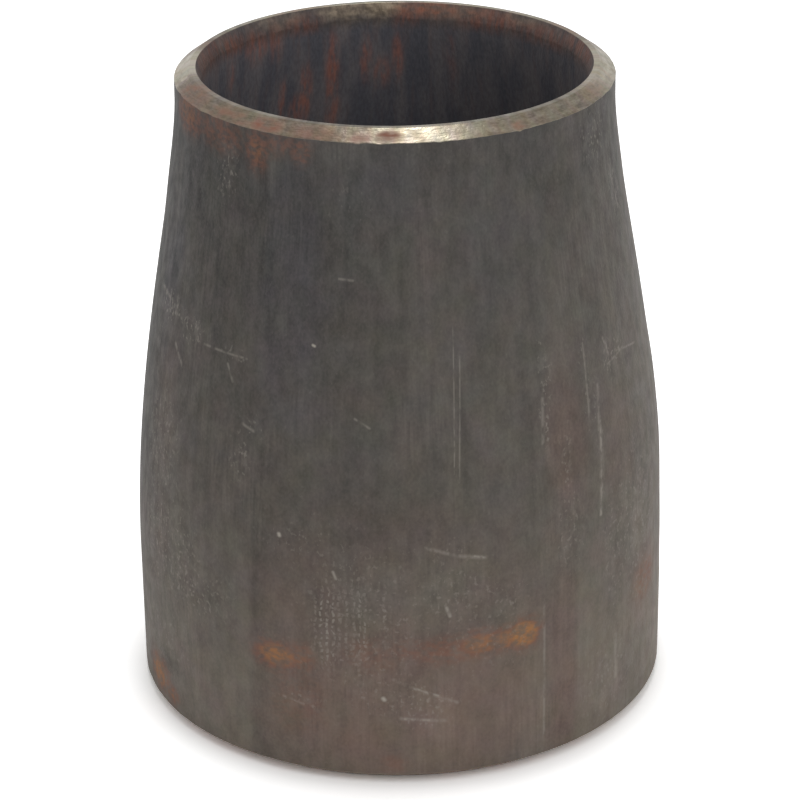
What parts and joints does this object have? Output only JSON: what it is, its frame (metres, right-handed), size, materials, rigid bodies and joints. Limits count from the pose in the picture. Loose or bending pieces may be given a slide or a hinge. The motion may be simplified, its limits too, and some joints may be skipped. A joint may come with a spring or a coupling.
{
  "type": "butt weld reducer",
  "caption": "Concentric steel pipe reducer with a smooth S-formed wall and bevelled ends for butt welding, to join a larger pipe to a smaller one.",
  "frame": {"origin": "centre of the large end's root face, which the fitting stands on", "axes": "+Z along the fitting's axis, from the large end to the small end; X and Y are any two square directions across it"},
  "size_m": [0.076, 0.076, 0.092],
  "materials": {
    "mill_scale_steel": "dark mill scale on hot formed carbon steel, with turned bare metal on the weld bevels and light rust"
  },
  "bodies": {
    "root": {"reducer": "mill_scale_steel"}
  },
  "joints": []
}
